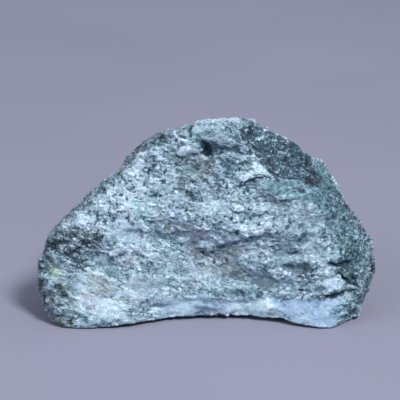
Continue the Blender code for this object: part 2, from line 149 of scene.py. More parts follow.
# Patches of the face: the outline, the softness of its edge in millimetres, then what each adds
# to the regions.
OUTLINES = {
    "matrix cap": (
        ((239, 134), (242, 128), (248, 125), (256, 125), (264, 128), (274, 132), (288, 138),
         (301, 146), (309, 156), (313, 165), (321, 176), (323, 187), (314, 186), (300, 181),
         (285, 178), (274, 176), (266, 171), (260, 163), (256, 158), (250, 152), (243, 142)),
        0.8, {"matrix": 1.0, "tone": -0.19},
    ),
    "white wedge over the crack": (
        ((256, 162), (262, 167), (271, 174), (262, 176), (254, 177), (246, 182), (242, 178),
         (250, 172)),
        0.8, {"tone": 0.24, "smooth": 0.3, "matrix": -1.0},
    ),
    "turquoise band": (
        ((256, 182), (266, 180), (280, 180), (296, 181), (312, 184), (322, 187), (332, 200),
         (326, 207), (312, 202), (298, 199), (284, 196), (268, 195), (260, 190)),
        1.2, {"teal": 0.75, "tone": 0.02, "smooth": 0.2},
    ),
    "turquoise corner": (
        ((313, 162), (322, 161), (330, 170), (334, 182), (338, 193), (328, 190), (320, 182),
         (314, 172)),
        1.0, {"teal": 0.75, "tone": -0.04, "matrix": -1.0, "smooth": 0.5},
    ),
    "granular flank": (
        ((320, 187), (334, 188), (346, 203), (356, 216), (366, 232), (366, 248), (354, 262),
         (342, 262), (335, 256), (334, 240), (328, 222), (314, 206)),
        3.6, {"spotted": 0.4, "teal": 0.62, "tone": -0.1},
    ),
    "dark low flank": (
        ((332, 264), (342, 260), (362, 250), (378, 258), (374, 280), (364, 300), (352, 318),
         (343, 312), (347, 296), (343, 284)),
        1.6, {"tone": -0.13, "teal": 0.3, "grey": 0.3},
    ),
    "blue lobe": (
        ((283, 300), (296, 297), (322, 300), (336, 297), (342, 297), (344, 304), (340, 318),
         (328, 326), (310, 325), (292, 322), (284, 317), (276, 310)),
        1.0, {"blue": 0.68, "tone": 0.16, "smooth": 0.85},
    ),
    "pale band": (
        ((160, 304), (168, 299), (185, 297), (196, 298.5), (204, 295.5), (213, 299), (222, 301.5),
         (234, 297), (246, 302), (256, 301), (264, 296), (274, 297.5), (283, 300), (276, 310),
         (284, 319), (260, 319), (230, 318), (205, 316), (180, 318), (164, 316)),
        1.9, {"blue": 0.5, "tone": 0.165, "smooth": 0.8},
    ),
    "shaded scoop": (
        ((190, 243), (202, 246), (216, 249), (232, 246), (247, 243), (243, 258), (238, 272),
         (222, 279), (204, 272), (190, 258)),
        2.0, {"grey": 0.85, "tone": -0.03, "smooth": 0.35},
    ),
    "white shoulder": (
        ((73, 235), (91, 205), (121, 172), (136, 156), (145, 158), (146, 180), (150, 205),
         (150, 225), (121, 230), (101, 225)),
        3.0, {"spotted": 1.0, "smooth": 0.4, "tone": 0.15},
    ),
    "dark furrows": (
        ((50, 240), (60, 230), (75, 228), (90, 226), (103, 230), (104, 242), (96, 250), (88, 262),
         (74, 262), (62, 257), (53, 251)),
        1.6, {"smooth": -0.4, "grey": 0.7, "tone": -0.05},
    ),
    "mottled low end": (
        ((36, 275), (49, 280), (63, 283), (74, 300), (82, 328), (60, 328), (46, 315), (38, 295)),
        2.0, {"grey": 0.4, "olive": 0.3, "tone": -0.04},
    ),
    "bright foot": (
        ((77, 300), (84, 294), (96, 294), (104, 300), (126, 304), (128, 318), (110, 322),
         (92, 312), (80, 307)),
        1.4, {"tone": 0.2, "smooth": 0.35},
    ),
    "crown block": (
        ((192, 127), (198, 122), (215, 119), (235, 117), (246, 119), (243, 128), (240, 138),
         (238, 148), (225, 150), (214, 146), (205, 140), (195, 140), (191, 134)),
        0.8, {"teal": 0.36, "smooth": 0.3, "tone": -0.05},
    ),
    # Painted shade in the deep pit by the crown.
    "painted shade of the deep pit": (
        ((200, 146), (204, 142), (210, 143), (213, 149), (211, 156), (205, 155), (201, 151)),
        0.7, {"tone": -0.5, "smooth": 0.4},
    ),
    "purple slot": (
        ((211, 149), (216, 146.5), (222, 149), (225, 152.5), (216, 153)),
        0.7, {"tone": -0.06, "grey": 0.3, "blue": 0.6, "smooth": 0.3},
    ),
    "brown band under the crown": (
        ((168, 155), (185, 156), (200, 159), (213, 159), (216, 170), (208, 176), (196, 170),
         (182, 165), (170, 161)),
        1.6, {"grey": 0.75, "tone": -0.13},
    ),
    # The darker tone of the two undercut facets is painted shade under the ledges over them; their
    # grey and olive are their own colour.
    "lower facet": (
        ((245, 281), (256, 276), (268, 273), (276, 280), (281, 287), (262, 288), (250, 285)),
        0.9, {"tone": -0.12, "grey": 0.6, "smooth": 0.8},
    ),
    "upper facet": (
        ((281, 268), (290, 264), (305, 264), (315, 268), (310, 273), (292, 275)),
        0.9, {"tone": -0.16, "olive": 0.4, "smooth": 0.7},
    ),
    "grey stain": (
        ((259, 193), (270, 194), (280, 197), (288, 202), (282, 205), (268, 202)),
        0.9, {"tone": -0.12, "grey": 0.8, "smooth": 0.5},
    ),
    "yellow-green patch": (
        ((47, 263), (54, 257), (63, 261), (65, 270), (59, 280), (50, 277)),
        1.4, {"olive": 1.0, "tone": 0.12},
    ),
    # Painted light that lightens the shade under the overhanging brow over the scoop.
    "painted light over the scoop": (
        ((140, 228), (162, 225), (185, 223), (220, 226), (245, 222), (275, 224), (276, 234),
         (262, 236), (240, 241), (216, 246), (190, 242), (165, 241), (140, 237)),
        2.0, {"tone": 0.16},
    ),
    "speckled upper middle": (
        ((150, 158), (170, 140), (192, 150), (215, 158), (236, 170), (262, 192), (300, 214),
         (306, 232), (270, 242), (225, 232), (190, 226), (158, 216), (146, 190)),
        3.0, {"spotted": 0.6, "smooth": 0.12, "tone": 0.03},
    ),
}

# Spots of the face: middle, half sizes in pixels, a turn in degrees if it has one, then what
# each adds.
SPOTS = {
    "dark round of the cap": ((246, 130), (7, 7), {"tone": -0.14, "matrix": 0.3}),
    "purple top of the cap": ((291, 146), (20, 7), -38.0, {"tone": -0.07}),
    "dark foot of the cap": ((309, 174), (13, 6), -45.0, {"tone": -0.09, "matrix": 0.3}),
    "white flecks of the cap": ((259, 139), (7, 2.5), {"tone": 0.3, "matrix": -0.7}),
    "white fleck": ((270, 142.5), (3.5, 1.75), {"tone": 0.42, "matrix": -0.7}),
    "second white fleck": ((265, 129.5), (3.5, 1.5), -30.0, {"tone": 0.3, "matrix": -0.7}),
    "grey heart of the cap": ((283, 166), (14, 7), -30.0, {"tone": 0.07}),
    # Painted highlights where light falls on the top of the crown.
    "painted highlight on the crown's top": ((214, 127), (14, 3.5), 4.0, {"tone": 0.12}),
    "painted highlight on the crown's left corner": ((197, 131), (6, 3), {"tone": 0.22}),
    "round white patch": ((187.5, 150.5), (10, 5.75), {"tone": 0.32, "smooth": 0.6}),
    "brown middle": ((190, 186), (18, 11), {"tone": -0.06, "grey": 0.6}),
    "blue-grey by the crown": ((226, 168), (13, 13), {"tone": -0.09, "teal": 0.3}),
    "dark speck by the cap": ((244, 163), (4.5, 2.75), 10.0, {"tone": -0.24}),
    "dark marks of the shoulder": ((162, 179), (12, 3), -48.0, {"tone": -0.18}),
    "brown by the cracks": ((346, 268), (13, 7), {"tone": -0.12, "olive": 0.5}),
    "green speck": (
        (336.25, 309), (11.25, 5.75), 35.0, {"tone": -0.22, "teal": 0.5, "smooth": -0.6},
    ),
    "mottles over the band": ((225, 293), (50, 5), -1.0, {"tone": -0.1, "teal": 0.4}),
    "pale boss": ((331, 284), (10, 8.5), {"tone": 0.17, "smooth": 0.6, "blue": 0.35}),
    "under the brow": ((245, 249), (22, 8), 6.0, {"tone": 0.1, "grey": 0.3, "smooth": 0.3}),
    "grey hollow under the scoop": ((238, 277), (9, 12), {"tone": 0.02, "grey": 0.7}),
    "brown over the scoop": ((190, 230), (26, 9), -10.0, {"tone": 0.04, "grey": 0.5}),
    "dark lower right": ((300, 286), (18, 7), {"tone": -0.07, "teal": 0.2, "grey": 0.2}),
    "purple in the band": ((205, 307), (12, 6), {"tone": -0.07, "grey": 0.3}),
    "left lump of the band": ((184, 306), (11, 5), {"tone": 0.1}),
    "middle lumps of the band": ((240, 309), (14, 5), {"tone": 0.06, "blue": -0.4}),
    "right lump of the band": ((265, 305), (8, 6), {"tone": 0.12, "blue": -0.5}),
    "teal shoulder": ((143, 208), (15, 14), {"teal": 0.6, "tone": 0.05}),
    "brightest end": ((83, 222), (8, 8), {"tone": 0.08}),
    "smooth blue": ((128, 232), (20, 12), -10.0, {"blue": 0.4, "tone": 0.1, "smooth": 0.5}),
    "light blue": ((180, 212), (11, 7), {"blue": 0.5, "tone": 0.16}),
    "white shapes": ((212, 205), (11, 4.5), {"tone": 0.12, "smooth": 0.5}),
    "dark teal spot": ((98, 236), (6, 7), {"tone": -0.18, "teal": 0.8}),
    "blue-grey facet": ((107, 261), (12, 7), {"tone": -0.02, "blue": 0.4, "smooth": 0.8}),
    "teal facet": ((114, 273), (8, 5.5), -30.0, {"tone": -0.12, "teal": 0.4, "smooth": 0.7}),
    "olive-grey middle": (
        (147, 283), (20, 8), {"grey": 0.3, "tone": -0.04, "olive": 0.22, "smooth": 0.4},
    ),
    "dark streak": ((63, 290), (11, 4.5), -45.0, {"tone": -0.2, "teal": 0.4}),
    "bright middle": ((222, 205), (24, 20), {"tone": 0.01}),
    "pale under the brow": ((262, 247), (18, 8), 8.0, {"tone": 0.17}),
    "pale lower middle": ((205, 278), (16, 10), {"tone": 0.04}),
    "dark left end": ((53, 247), (11, 13), {"smooth": -0.4, "tone": -0.24}),
    "yellow grains": ((299, 212), (12, 6), {"olive": 0.35}),
    "pale green left": ((90, 285), (30, 14), {"grey": 0.4, "smooth": 0.3, "olive": 0.2}),
    "grey by the shoulder": ((152, 162), (7, 13), {"tone": -0.14}),
    "grey right of the crown": ((239, 146), (5, 10), {"tone": -0.15}),
    "start of the bright foot": ((84, 295), (11, 6), {"tone": 0.2}),
    "pale lower right": ((262, 265), (14, 7), {"tone": -0.02}),
    "pale under the stain": ((268, 211), (10, 6), {"tone": 0.14}),
    "pale over the brow": ((240, 226), (10, 7), {"tone": 0.06}),
    "pale low left": ((92, 279), (15, 12), {"tone": 0.11}),
    "pale low middle": ((135, 287), (27, 11), {"smooth": 0.4, "tone": 0.12}),
    "pale foot's end": ((157, 311), (10, 7), {"tone": 0.12}),
    "pale over the rim": ((91, 198), (8, 7), 35.0, {"tone": 0.04}),
    "dark below the furrows": ((77, 267), (9, 6), {"tone": -0.16}),
    "pale by the upper facet": ((294, 257), (16, 6), {"tone": 0.1}),
    "pale under the upper facet": ((300, 281), (10, 5), {"tone": 0.1}),
    "pale by the blue facet": ((123, 263), (9, 9), {"tone": 0.1}),
    "pale low lobe": ((300, 318), (13, 5), {"tone": 0.1}),
    "pale under the yellow": ((61, 275), (9, 8), {"tone": 0.12}),
    "darker right": ((309, 217), (12, 9), {"tone": -0.1}),
    "pale middle left": ((145, 257), (22, 6), {"tone": 0.14}),
    "dark marks under the cap's edge": ((236, 163), (5, 6), {"tone": -0.06}),
    "brown marks of the middle": ((196, 172), (16, 9), 20.0, {"tone": -0.03, "grey": 0.4}),
    "quieter lower half": ((165, 280), (125, 38), 4.0, {"smooth": 0.18}),
    "quieter right": ((300, 230), (42, 34), {"smooth": 0.28, "tone": -0.02}),
    "olive trace of the low left": (
        (112, 298), (52, 20), {"olive": 0.08, "grey": 0.2, "tone": 0.02},
    ),
    "grey trace of the middle left": ((150, 262), (40, 14), -8.0, {"grey": 0.35}),
    "pale green over the lobe": (
        (294, 290), (5, 6), {"tone": 0.1, "teal": 0.35, "olive": 0.3, "smooth": 0.3},
    ),
    "light lump by the lobe": ((269, 303), (6, 5), {"tone": 0.03, "blue": -0.4}),
    "black speck over the brow": ((233, 220), (2.75, 1.75), {"tone": -0.4}),
    "black speck at the brow": ((236, 232), (3.5, 2), {"tone": -0.4}),
    "black speck of the right": ((299, 231), (2.25, 1.75), {"tone": -0.4}),
}

# Strips of the face: the line, half its width in millimetres, then what each adds.
STRIPS = {
    "weathered rim": (
        ((42, 243), (57, 223), (80, 206), (100, 188), (118, 174), (131, 157), (144, 145),
         (167, 135), (185, 130)),
        2.6, {"tone": -0.08, "grey": 0.5, "matrix": 0.35},
    ),
    "outer edge of the right end": (
        ((340, 195), (352, 211), (362, 224), (374, 243), (377, 258), (374, 277), (363, 298)),
        2.4, {"grey": 0.6, "matrix": 0.3, "tone": -0.06},
    ),
    # Painted highlight along the lit top edge of the crown.
    "painted highlight on the crown's top edge": (
        ((194, 125), (201, 122.5), (213, 120.5), (228, 119), (238, 119.25)),
        1.2, {"teal": -0.6, "tone": 0.26},
    ),
    "white fringe of the cap": (
        ((244, 140), (249, 147), (254, 156)),
        1.1, {"tone": 0.16, "matrix": -0.7},
    ),
    "upper furrow": (((55, 246), (66, 240), (80, 232)), 1.5, {"tone": -0.16}),
    "lower furrow": (((64, 259), (78, 252), (92, 241)), 1.5, {"tone": -0.16}),
    "left edge": (
        ((42, 243), (38, 262), (40, 285), (48, 306), (57, 322)),
        1.8, {"tone": -0.04, "grey": 0.4},
    ),
    "shade over the lobe": (
        ((307, 298.5), (315, 298), (326, 295.5), (339.5, 292)),
        1.3, {"tone": -0.24},
    ),
    "dark hollow of the low end": (((52, 268), (58, 282), (66, 297)), 1.4, {"tone": -0.07}),
    "pale top of the cap": (
        ((245, 122), (255, 122), (264, 125)),
        1.0, {"tone": -0.04, "grey": 0.4, "teal": 0.4},
    ),
    # Painted shade along the end of the crack under the cap's white wedge.
    "painted shade at the end of the cap's crack": (
        ((257, 177.6), (266, 176.75), (278, 177.6), (290, 179.5)),
        0.8, {"tone": -0.22},
    ),
}

# Open cracks and sharp shadow lines, cut into the surface and darkened by painted shade as deep as
# they cut: the line, then its width and depth in millimetres.
CRACKS = {
    "crack under the cap": (
        ((245, 183.5), (250, 181), (256, 178.75), (264, 178), (272, 178.25), (282, 179.5)),
        0.7, 2.4,
    ),
    "brow line": (
        ((218, 247), (226, 245), (234, 242.5), (250, 238), (260, 235), (269, 232)),
        1.0, 0.25,
    ),
    "boss line": (((326, 296.75), (333, 295), (338, 293), (343, 291)), 0.6, 0.7),
    "flank crack": (((328, 262), (336, 264.5), (342, 262), (349, 261)), 0.7, 0.9),
    "undercut crack": (((338, 272), (344, 279), (349, 283), (356, 284)), 0.7, 0.9),
    "short crack": (((350, 275), (355, 281), (357, 286)), 0.6, 0.5),
    "crown seam": (((192, 126), (190.5, 131), (191, 137)), 0.6, 0.5),
    "edge of the cap": (((240, 137), (246, 146), (251, 154)), 0.6, 0.3),
    "mark left of the crown": (((180, 137.5), (186, 139)), 0.6, 0.3),
    "second mark": (((177, 142), (182, 147)), 0.6, 0.3),
}

# The lower edge of the face, in millimetres: place along it, and how far it is raised there.
ARCH_LIFT = (
    (-52.0, 0.0), (-43.1, 0.7), (-35.2, 1.4), (-30.8, 1.4), (-25.4, 1.0), (-21.0, 0.8),
    (-18.8, 0.9), (-17.5, 1.3), (-14.8, 1.2), (-9.5, 0.7), (-1.5, 0.4), (3.8, 0.0), (9.1, -0.3),
    (14.4, -0.2), (19.7, 0.0), (25.0, 0.9), (30.3, 1.5), (33.0, 1.9), (35.2, 1.4), (38.3, 0.9),
    (43.6, 1.0), (46.2, 0.4), (48.9, 0.0),
)
LIFT_HEIGHT = 9.0  # the lift fades out up to this height
LIFT_DEPTH = (8.0, 22.0)  # and over these depths

TUCK = 3.2  # how far the foot of the left end is drawn in at the floor
TUCK_HEIGHT = 22.0  # the tuck fades out up to this height
TUCK_ALONG = (-71.0, -56.0)  # and between these places along the face

REGIONS = ("tone", "teal", "blue", "grey", "olive", "matrix", "smooth", "spotted")

# The stage, in metres. The camera looks straight at the broken face.
FLOOR_SIZE = 3.0
LIGHT_AIM = (0.0, 0.0, 0.04)
KEY_PLACE, KEY_SIZE = (1.60, -2.95, 3.10), 1.0
FILL_PLACE, FILL_SIZE = (-1.90, -1.30, 1.20), 1.6
SENSOR = 36.0
# The stone, 150 mm wide at its rim 12 mm behind the face, spans 339 of the frame's 400 pixels.
STONE_WIDTH = 150.0
STONE_PIXELS = 339
FRAME_PIXELS = 400
RIM_DEPTH = 12.0
FRAME_MIDDLE = (-3.3, 56.2)  # along and up the face, in millimetres


def linear(hex_colour):
    """An sRGB hex colour as linear red, green, blue and alpha."""
    channels = [int(hex_colour[i : i + 2], 16) / 255.0 for i in (1, 3, 5)]
    return tuple(
        c / 12.92 if c <= 0.04045 else ((c + 0.055) / 1.055) ** 2.4 for c in channels
    ) + (1.0,)


def colour_property(name, description, hex_colour):
    """A colour that the user can change, with its default as an sRGB hex colour."""
    return FloatVectorProperty(
        name=name, description=description, default=linear(hex_colour), size=4,
        subtype="COLOR", min=0.0, max=1.0,
    )


class StoneSettings(bpy.types.PropertyGroup):
    """Fineness and colours of the stone."""

    spacing: FloatProperty(
        name="Point spacing", description="Distance between the points of the fine surface",
        default=0.6 * MM, min=0.5 * MM, unit="LENGTH",
    )
    relief: FloatProperty(
        name="Fine relief", description="Strength of the chips, thin layers and grain",
        default=1.0, min=0.0, max=2.0, subtype="FACTOR",
    )
    black: colour_property("Pits", "Deepest grains and pits", "#0F2431")
    dark: colour_property("Dark grains", "Dark host-rock grains among the pectolite", "#355061")
    middle: colour_property("Grey-blue", "Mixed pectolite and host rock", "#8099A8")
    light: colour_property("Pale blue", "Clean pectolite", "#B1C9DA")
    white: colour_property("White", "Calcite and bleached pectolite", "#E4F0F9")
    teal: colour_property("Teal tint", "Tint of the turquoise layers and the flank", "#B8D3D3")
    blue: colour_property("Blue tint", "Tint of the smooth blue band", "#DDE6F6")
    grey: colour_property("Grey tint", "Tint of the weathered hollows", "#DFD7D4")
    olive: colour_property("Olive tint", "Tint of the green-yellow grains", "#DADECA")
    greenish: colour_property("Green trace", "Tint of the greenest fibres", "#EFFAF5")
    lilac: colour_property("Lilac trace", "Tint of the most lilac fibres", "#FDF6F9")
    matrix: colour_property("Matrix tint", "Tint of the dark cap", "#8FA4B0")
    crust: colour_property("Crust tint", "Tint of the weathered outer crust", "#C0B2A2")


class StageSettings(bpy.types.PropertyGroup):
    """Floor, light and camera."""

    floor: colour_property("Floor", "Colour of the plain floor", "#8F90A3")
    key_power: FloatProperty(
        name="Key light", description="Power in watts", default=229.0, min=0.0,
    )
    fill_power: FloatProperty(
        name="Fill light", description="Power in watts", default=12.0, min=0.0,
    )
    sky: FloatProperty(
        name="Room light", description="Strength of the even light", default=0.5, min=0.0,
    )
    room: colour_property("Room", "Colour of the even light", "#E6ECF7")
    distance: FloatProperty(
        name="Camera distance", description="From the camera to the front face",
        default=1.0, min=0.2, unit="LENGTH",
    )


def smooth(low, high, values):
    """0 below low, 1 above high, and an even curve between them, for an array of values."""
    share = np.clip((values - low) / (high - low), 0.0, 1.0)
    return share * share * (3.0 - 2.0 * share)


def field(points, function):
    """The function's value at each point, as an array."""
    return np.array([function(Vector(point)) for point in points])


def to_face(points):
    """World places in metres as millimetres in the face frame."""
    lean = math.radians(FACE_LEAN)
    along, forward, up = (points / MM).T
    forward = forward + FACE_FOOT
    depth = forward * math.cos(lean) - up * math.sin(lean)
    height = forward * math.sin(lean) + up * math.cos(lean)
    return np.column_stack((along, depth, height))


def layer_places(face):
    """The face frame with its third axis running across the thin layers, wherever they dip."""
    along = face[:, 0]
    start, end = DIP_CHANGE
    share = smooth(start, end, along)
    dip = LEFT_DIP + (RIGHT_DIP - LEFT_DIP) * share
    middle = (start + end) / 2
    return np.column_stack((along, face[:, 1], face[:, 2] + dip * (along - middle)))


def apply_modifiers(surface):
    """Gives the surface the mesh that its modifiers make, and removes the modifiers."""
    graph = bpy.context.evaluated_depsgraph_get()
    made = bpy.data.meshes.new_from_object(surface.evaluated_get(graph), depsgraph=graph)
    old = surface.data
    surface.modifiers.clear()
    surface.data = made
    bpy.data.meshes.remove(old)
    made.name = surface.name


def fine_copy(spacing):
    """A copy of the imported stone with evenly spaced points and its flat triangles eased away."""
    bm = bmesh.new()
    bm.from_mesh(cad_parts[NODE].data)
    bmesh.ops.remove_doubles(bm, verts=bm.verts, dist=MERGED)
    mesh = bpy.data.meshes.new("larimar_surface")
    bm.to_mesh(mesh)
    bm.free()
    surface = bpy.data.objects.new("larimar_surface", mesh)
    bpy.context.scene.collection.objects.link(surface)
    remesh = surface.modifiers.new("even_points", "REMESH")
    remesh.mode = "VOXEL"
    remesh.voxel_size = spacing
    ease = surface.modifiers.new("eased", "SMOOTH")
    ease.factor, ease.iterations = EASING
    apply_modifiers(surface)
    return surface


def read_vectors(collection, name):
    """One vector of each member of a mesh's collection, as rows of an array."""
    values = np.empty(len(collection) * 3, np.float32)
    collection.foreach_get(name, values)
    return values.reshape(-1, 3).astype(float)


def chip_height(point, size, depth, side):
    """Broken chips of one size, each with its own level and tilt, which meet in creases."""
    spot = Vector((point.x / CHIP_STRETCH, point.y, point.z)) / size + Vector((size, size, 0.0))
    spot += CHIP_WANDER[0] * noise.noise_vector(spot * CHIP_WANDER[1])
    distances, middles = noise.voronoi(spot)
    highest = -math.inf
    for distance, middle in zip(distances, middles):
        level = CHIP_LEVEL * (noise.cell_vector(middle).x - 0.5)
        tilt = CHIP_TILT * (noise.cell_vector(middle + TURN_PLACE) - HALF)
        highest = max(highest, level + tilt.dot(spot - middle) - CHIP_ROUND * distance**2)
    return side * depth * (highest - CHIP_MIDDLE)


def thin_layers(point):
    """Ragged lips of thin layers, which stand out along their lower edge."""
    spot = Vector((point.x / LAYER_LENGTH, point.y / LAYER_LENGTH, point.z / LAYER_SPACING))
    wave = sum(height * noise.noise(spot * often) for height, often in LAYER_WAVES)
    up_the_layer = (spot.z + wave) % 1.0
    strength = 0.5 + noise.noise(spot * LAYER_ENDS + TURN_PLACE)
    lip = (1.0 - up_the_layer) * min(1.0, up_the_layer / LIP_RISE)
    return LAYER_RELIEF * max(0.0, strength) * (lip - LIP_MIDDLE)


def grain_height(point):
    """The grain of the broken fibres, about 1 mm across."""
    return GRAIN_RELIEF * noise.noise(point / GRAIN_SIZE)


def stray(points):
    """How far each place is moved, so that the edges of patches are ragged."""
    return sum(
        distance * np.array([noise.noise_vector(Vector(p) * often) for p in points])
        for distance, often in PATCH_STRAY
    )


def from_pixels(length):
    """A length in the photograph's pixels in millimetres, to the nearest 0.1."""
    return round(length * PIXEL, 1)


def on_face(pixel):
    """A place in the photograph as millimetres along and up the face."""
    x, y = pixel
    return from_pixels(x - START_PIXEL[0]), from_pixels(START_PIXEL[1] - y)


def to_line(places, line):
    """Distance of each place from a line of straight runs."""
    gap = np.full(len(places), np.inf)
    for start, end in zip(line, line[1:]):
        run = np.subtract(end, start)
        offset = places - start
        share = np.clip(offset @ run / (run @ run), 0.0, 1.0)
        gap = np.minimum(gap, np.linalg.norm(offset - share[:, None] * run, axis=1))
    return gap


def outline_mask(places, outline, edge):
    """1 inside an outline, 0 outside, with a soft edge."""
    closed = [on_face(pixel) for pixel in outline + outline[:1]]
    gap = to_line(places, closed)
    inside = np.zeros(len(places), bool)
    for (x0, y0), (x1, y1) in zip(closed, closed[1:]):
        if y0 != y1:
            crosses = (y0 > places[:, 1]) != (y1 > places[:, 1])
            reach = x0 + (places[:, 1] - y0) * (x1 - x0) / (y1 - y0)
            inside ^= crosses & (places[:, 0] < reach)
    return smooth(-edge, edge, np.where(inside, gap, -gap))


def spot_mask(places, middle, half, turn=0.0):
    """1 in the middle of an ellipse and 0 outside it."""
    angle = math.radians(turn)
    x, y = (places - on_face(middle)).T
    along = (x * math.cos(angle) + y * math.sin(angle)) / from_pixels(half[0])
    across = (y * math.cos(angle) - x * math.sin(angle)) / from_pixels(half[1])
    return 1.0 - smooth(*SPOT_EDGE, np.hypot(along, across))


def strip_mask(places, line, width):
    """1 on a line and 0 away from it."""
    start, end = STRIP_EDGE
    gap = to_line(places, [on_face(pixel) for pixel in line])
    return 1.0 - smooth(start * width, end * width, gap)


def paint_regions(face, facing):
    """What the patches and spots add up to at each point, by region name."""
    strayed = face + stray(face)
    places = strayed[:, [0, 2]]
    start, end, deeper = DEEPER_RIGHT
    depth = face[:, 1] - deeper * smooth(start, end, face[:, 0])
    in_front = 1.0 - smooth(*PATCH_DEPTH, depth)
    near_front = 1.0 - smooth(*STRIP_DEPTH, depth)
    regions = {name: np.zeros(len(face)) for name in REGIONS}
    for patches, patch_mask, shown in (
        (OUTLINES, outline_mask, in_front),
        (SPOTS, spot_mask, in_front),
        (STRIPS, strip_mask, near_front),
    ):
        for *shape, adds in patches.values():
            mask = patch_mask(places, *shape) * shown
            for name, amount in adds.items():
                regions[name] += amount * mask
    crust = 1.0 - smooth(*CRUST_TURN, facing + CRUST_STRAY * (strayed - face)[:, 1])
    crust *= smooth(*CRUST_DEPTH, depth)
    behind = crust * (1.0 - in_front)
    worn = field(strayed, lambda p: noise.fractal(p / WORN_SIZE, 1.0, 2.0, 3))
    worn = smooth(*WORN_SHARE, worn)
    stain = field(strayed, lambda p: noise.noise(p / STAIN_SIZE + TURN_PLACE))
    regions["crust"] = crust - WORN_AWAY * worn * behind
    regions["tone"] += WORN_PALER * worn * behind
    regions["olive"] += smooth(*STAIN_SHARE, stain) * behind
    regions["teal"] += smooth(*STAIN_SHARE, -stain) * behind
    return regions


def crack_depths(face):
    """How deep the open cracks cut at each point, and how much painted shade darkens them."""
    distance, often = CRACK_WANDER
    wander = distance * np.array([noise.noise_vector(Vector(p) * often) for p in face])
    places = (face + wander)[:, [0, 2]]
    depth = np.zeros(len(face))
    dark = np.zeros(len(face))
    in_front = 1.0 - smooth(*CRACK_DEPTH, face[:, 1])
    for line, width, cut in CRACKS.values():
        gap = to_line(places, [on_face(pixel) for pixel in line])
        mask = np.exp(-((gap / width) ** 2)) * in_front
        depth += cut * mask
        dark = np.maximum(dark, mask * min(1.0, cut / FULLY_DARK_CUT))
    return depth, dark


def evened(values, edges, rounds):
    """The values averaged with their neighbours', several times over."""
    count = np.bincount(edges.ravel(), minlength=len(values)).astype(float)
    for _ in range(rounds):
        total = np.zeros(len(values))
        np.add.at(total, edges[:, 0], values[edges[:, 1]])
        np.add.at(total, edges[:, 1], values[edges[:, 0]])
        values = 0.5 * values + 0.5 * total / count
    return values


def write_attribute(mesh, name, values):
    """Keeps a number or a vector with each point of the mesh, for the material to read."""
    kind, field_name = ("FLOAT_VECTOR", "vector") if values.ndim == 2 else ("FLOAT", "value")
    attribute = mesh.attributes.new(name, kind, "POINT")
    attribute.data.foreach_set(field_name, values.ravel().astype(np.float32))


def shape_feet(places, face, moved):
    """Raises the lower edge over the arch, and draws in the foot of the left end."""
    low_part = 1.0 - np.clip(places[:, 2] / (LIFT_HEIGHT * MM), 0.0, 1.0)
    lift = np.interp(face[:, 0], *zip(*ARCH_LIFT)) * low_part**2
    moved[:, 2] += lift * (1.0 - smooth(*LIFT_DEPTH, face[:, 1])) * MM
    low_end = 1.0 - np.clip(places[:, 2] / (TUCK_HEIGHT * MM), 0.0, 1.0)
    moved[:, 0] += TUCK * MM * low_end**3 * (1.0 - smooth(*TUCK_ALONG, face[:, 0]))
    moved[:, 2] = np.maximum(moved[:, 2], 0.0)


def hollows(mesh, height):
    """How far each point stands out of its surroundings, or lies in a hollow of them."""
    edges = np.empty(len(mesh.edges) * 2, np.int32)
    mesh.edges.foreach_get("vertices", edges)
    edges = edges.reshape(-1, 2)
    fine, middling, broad = (evened(height, edges, rounds) for rounds in EVENED_ROUNDS)
    hollow = (fine - middling) / FINE_HOLLOW + (middling - broad) / BROAD_HOLLOW
    return np.clip(hollow, -MOST_HOLLOW, MOST_HOLLOW)


def break_surface(surface, relief):
    """Works chips, thin layers, cracks and grain into the fine surface, and writes its regions."""
    mesh = surface.data
    places = read_vectors(mesh.vertices, "co")
    normals = read_vectors(mesh.vertex_normals, "vector")
    face = to_face(places)
    layered = layer_places(face)
    lean = math.radians(FACE_LEAN)
    facing = -(normals[:, 1] * math.cos(lean) - normals[:, 2] * math.sin(lean))
    regions = paint_regions(face, facing)
    rough = 1.0 - SMOOTH_EVENNESS * np.clip(regions["smooth"], 0.0, 1.0)
    rough *= 1.0 - CRUST_EVENNESS * np.clip(regions["crust"], 0.0, 1.0)
    chips = sum(field(layered, lambda p, c=chip: chip_height(p, *c)) for chip in CHIPS)
    layers = field(layered, thin_layers)
    layers *= 1.0 - MATRIX_EVENNESS * np.clip(regions["matrix"], 0.0, 1.0)
    grain = field(face, grain_height)
    cracks, painted_crack_shade = crack_depths(face)
    height = relief * rough * (chips + layers + grain) - cracks
    above_floor = smooth(*(MM * end for end in FLOOR_FADE), places[:, 2])
    moved = places + normals * (height * above_floor)[:, None] * MM
    shape_feet(places, face, moved)
    moved = np.clip(moved, *np.array(CAD_BOX))
    mesh.vertices.foreach_set("co", moved.ravel().astype(np.float32))
    mesh.update()
    # Painted light and shade: what stands out of its surroundings is painted lighter, what lies in
    # a hollow darker.
    regions["painted_relief_shading"] = hollows(mesh, height)
    # Painted shade in the open cracks.
    regions["crack"] = painted_crack_shade
    for name, values in regions.items():
        write_attribute(mesh, name, values)
    write_attribute(mesh, "layers", layered * MM)


def thin_out(surface):
    """Drops the triangles that the even places of the broken surface can spare."""
    surface.data.calc_loop_triangles()
    fewer = surface.modifiers.new("fewer_triangles", "DECIMATE")
    fewer.ratio = min(1.0, MOST_TRIANGLES / len(surface.data.loop_triangles))
    apply_modifiers(surface)
    surface.data.shade_smooth()


